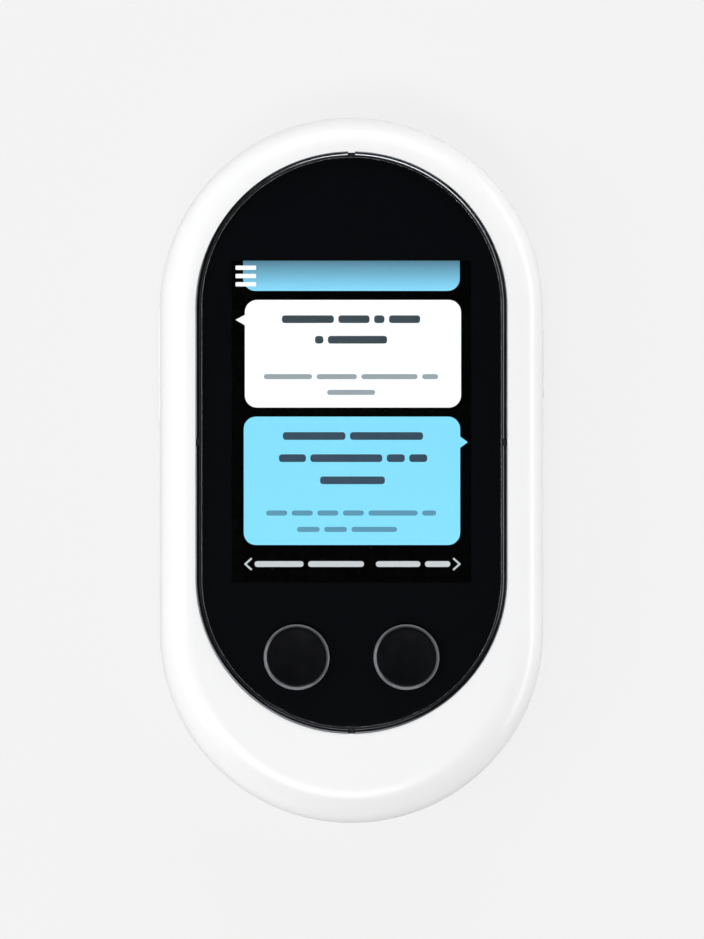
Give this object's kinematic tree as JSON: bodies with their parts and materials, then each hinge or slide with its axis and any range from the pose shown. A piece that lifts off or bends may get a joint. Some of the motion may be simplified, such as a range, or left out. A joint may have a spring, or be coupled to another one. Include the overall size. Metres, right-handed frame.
{
  "type": "handheld translator",
  "caption": "Slim rounded handheld translator with a glass front, colour screen, two round talk buttons, side keys, a card tray and a charging socket.",
  "frame": {"origin": "middle of the flat back, which it lies on", "axes": "+X to the right edge seen from the front, +Y to the top end, +Z out of the glass"},
  "size_m": [0.0602, 0.11, 0.0158],
  "materials": {
    "white_shell": "gloss",
    "black_frame": "matte",
    "dark_trim": "polished",
    "cover_glass": "gloss",
    "black_print": "gloss",
    "display_glass": "gloss",
    "button_black": "satin",
    "steel": "satin",
    "board_laminate": "satin",
    "chip_epoxy": "matte",
    "flex_film": "satin",
    "battery_foil": "satin",
    "seal_rubber": "matte",
    "foam": "matte",
    "mesh_cloth": "matte"
  },
  "bodies": {
    "casing": {"backlight_frame": "black_frame", "battery_cell": "battery_foil", "battery_lead": "flex_film", "battery_tape": "flex_film", "bezel_frame": "black_frame", "board_chips": "chip_epoxy", "board_screws": "steel", "case_screws": "steel", "cellular_antenna": "flex_film", "cover_lens": "cover_glass", "display_connector": "black_frame", "display_foam": "foam", "front_housing": "white_shell", "lcd_flex": "flex_film", "lcd_panel": "display_glass", "lens_adhesive": "flex_film", "lens_mask": "black_print", "main_board": "board_laminate", "mic_gasket_bottom": "seal_rubber", "mic_gasket_top": "seal_rubber", "microphone_bottom": "chip_epoxy", "microphone_top": "chip_epoxy", "power_dome": "steel", "power_key_bracket": "steel", "power_key_flex": "flex_film", "processor_shield": "steel", "radio_shield": "steel", "rear_cover": "white_shell", "sim_socket": "steel", "speaker_gasket_left": "seal_rubber", "speaker_gasket_right": "seal_rubber", "speaker_left": "black_frame", "speaker_mesh_left": "mesh_cloth", "speaker_mesh_right": "mesh_cloth", "speaker_right": "black_frame", "talk_dome_left": "steel", "talk_dome_right": "steel", "talk_ring_left": "dark_trim", "talk_ring_right": "dark_trim", "touch_sensor": "display_glass", "trim_bottom_left": "dark_trim", "trim_bottom_right": "dark_trim", "trim_top_left": "dark_trim", "trim_top_right": "dark_trim", "usb_shell": "steel", "usb_tongue": "black_frame", "volume_dome_down": "steel", "volume_dome_up": "steel", "volume_key_bracket": "steel", "volume_key_flex": "flex_film", "wifi_antenna": "flex_film"},
    "talk_button_left": {"talk_cap_left": "button_black"},
    "talk_button_right": {"talk_cap_right": "button_black"},
    "power_button": {"power_key": "white_shell"},
    "volume_rocker": {"volume_key": "white_shell"},
    "sim_drawer": {"sim_tray": "white_shell", "sim_card": "chip_epoxy"}
  },
  "joints": [
    {"name": "talk_press_left", "type": "slide", "parent": "casing", "child": "talk_button_left", "axis": [0, 0, -1], "range_m": [0, 0.00035], "stiffness_N_per_m": 1500, "springref_m": -0.0005, "deforming": ["talk_dome_left"]},
    {"name": "talk_press_right", "type": "slide", "parent": "casing", "child": "talk_button_right", "axis": [0, 0, -1], "range_m": [0, 0.00035], "stiffness_N_per_m": 1500, "springref_m": -0.0005, "deforming": ["talk_dome_right"]},
    {"name": "power_press", "type": "slide", "parent": "casing", "child": "power_button", "axis": [-1, 0, 0], "range_m": [0, 0.00025], "stiffness_N_per_m": 2000, "springref_m": -0.0004, "deforming": ["power_dome"]},
    {"name": "volume_rock", "type": "hinge", "parent": "casing", "child": "volume_rocker", "pos_m": [-0.02735, 0.0166, 0.00805], "axis": [0, 0, 1], "range_deg": [-1.8, 1.8], "stiffness_Nm_per_rad": 0.3, "deforming": ["volume_dome_up", "volume_dome_down"]},
    {"name": "sim_slide", "type": "slide", "parent": "casing", "child": "sim_drawer", "axis": [1, 0, 0], "range_m": [0, 0.015]}
  ]
}
